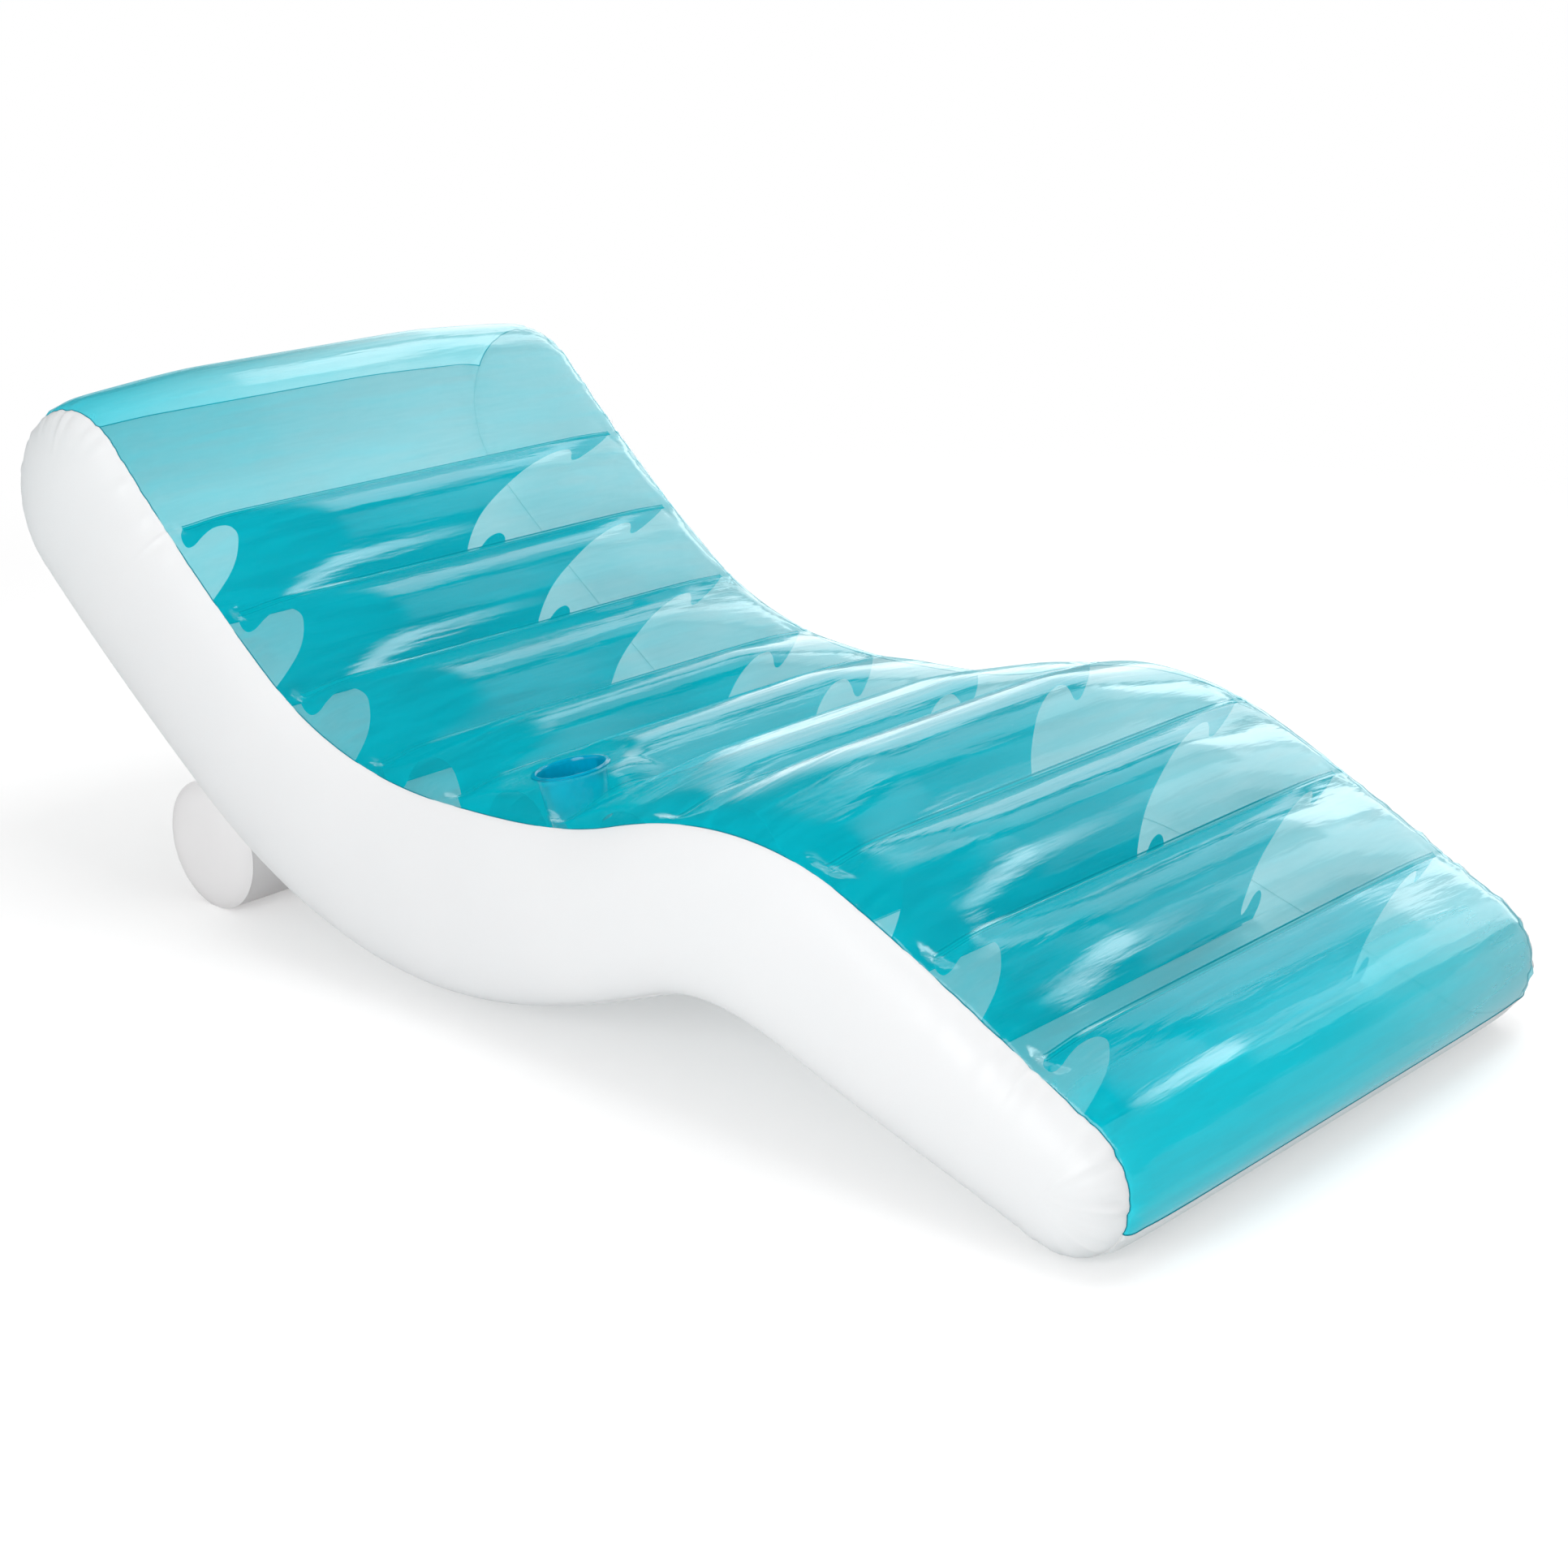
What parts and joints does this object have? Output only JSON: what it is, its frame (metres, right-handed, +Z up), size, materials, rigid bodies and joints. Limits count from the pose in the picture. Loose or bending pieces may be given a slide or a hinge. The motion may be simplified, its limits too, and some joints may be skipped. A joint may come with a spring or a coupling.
{
  "type": "inflatable pool lounge chair",
  "caption": "S-shaped inflatable lounge for the pool: clear top film over cross chambers, white sides and underside, cup holder in the seat, round bolster under the back.",
  "frame": {"origin": "centre of the bounding box in plan, on the floor that the chair rests on", "axes": "+X towards the foot end, +Y towards the sitter's left, +Z up"},
  "size_m": [2.0154, 0.956, 0.7305],
  "materials": {
    "baffle_film": "tinted vinyl film",
    "bolster_film": "opaque vinyl film",
    "valve_vinyl": "soft moulded vinyl",
    "white_film": "opaque vinyl film",
    "cup_holder_film": "clear tinted vinyl film",
    "clear_film": "clear tinted vinyl film"
  },
  "bodies": {
    "lounge": {"baffle_01": "baffle_film", "baffle_02": "baffle_film", "baffle_03": "baffle_film", "baffle_04": "baffle_film", "baffle_05": "baffle_film", "baffle_06": "baffle_film", "baffle_07": "baffle_film", "baffle_08": "baffle_film", "baffle_09": "baffle_film", "baffle_10": "baffle_film", "bolster_end_left": "bolster_film", "bolster_end_right": "bolster_film", "bolster_sleeve": "bolster_film", "bolster_valve_flange": "valve_vinyl", "bottom_sheet_back": "white_film", "bottom_sheet_leg": "white_film", "bottom_sheet_seat": "white_film", "cup_holder_floor": "cup_holder_film", "cup_holder_wall": "cup_holder_film", "left_side_panel": "white_film", "main_valve_flange": "valve_vinyl", "right_side_panel": "white_film", "top_sheet_back": "clear_film", "top_sheet_leg": "clear_film", "top_sheet_seat": "clear_film"},
    "bolster_valve_flap": {"bolster_valve_flap": "valve_vinyl"},
    "bolster_valve_plug": {"bolster_valve_plug": "valve_vinyl"},
    "bolster_valve_stem": {"bolster_valve_stem": "valve_vinyl"},
    "main_valve_flap": {"main_valve_flap": "valve_vinyl"},
    "main_valve_plug": {"main_valve_plug": "valve_vinyl"},
    "main_valve_stem": {"main_valve_stem": "valve_vinyl"}
  },
  "joints": [
    {"name": "main_valve_stem_slide", "type": "slide", "parent": "lounge", "child": "main_valve_stem", "axis": [-0.6299, 0, -0.7767], "range_m": [-0.007, 0]},
    {"name": "main_valve_plug_hinge", "type": "hinge", "parent": "main_valve_stem", "child": "main_valve_plug", "pos_m": [-0.7775, 0.29627, 0.2954], "axis": [0, 1, 0], "range_deg": [0, 150]},
    {"name": "main_valve_flap_hinge", "type": "hinge", "parent": "main_valve_stem", "child": "main_valve_flap", "pos_m": [-0.75486, 0.29627, 0.31109], "axis": [0, -1, 0], "range_deg": [0, 75]},
    {"name": "bolster_valve_stem_slide", "type": "slide", "parent": "lounge", "child": "bolster_valve_stem", "axis": [0, 1, 0], "range_m": [-0.007, 0]},
    {"name": "bolster_valve_plug_hinge", "type": "hinge", "parent": "bolster_valve_stem", "child": "bolster_valve_plug", "pos_m": [-0.63214, 0.42615, 0.09454], "axis": [0, 0, -1], "range_deg": [0, 150]},
    {"name": "bolster_valve_flap_hinge", "type": "hinge", "parent": "bolster_valve_stem", "child": "bolster_valve_flap", "pos_m": [-0.63984, 0.3997, 0.09454], "axis": [0, 0, 1], "range_deg": [0, 75]}
  ]
}
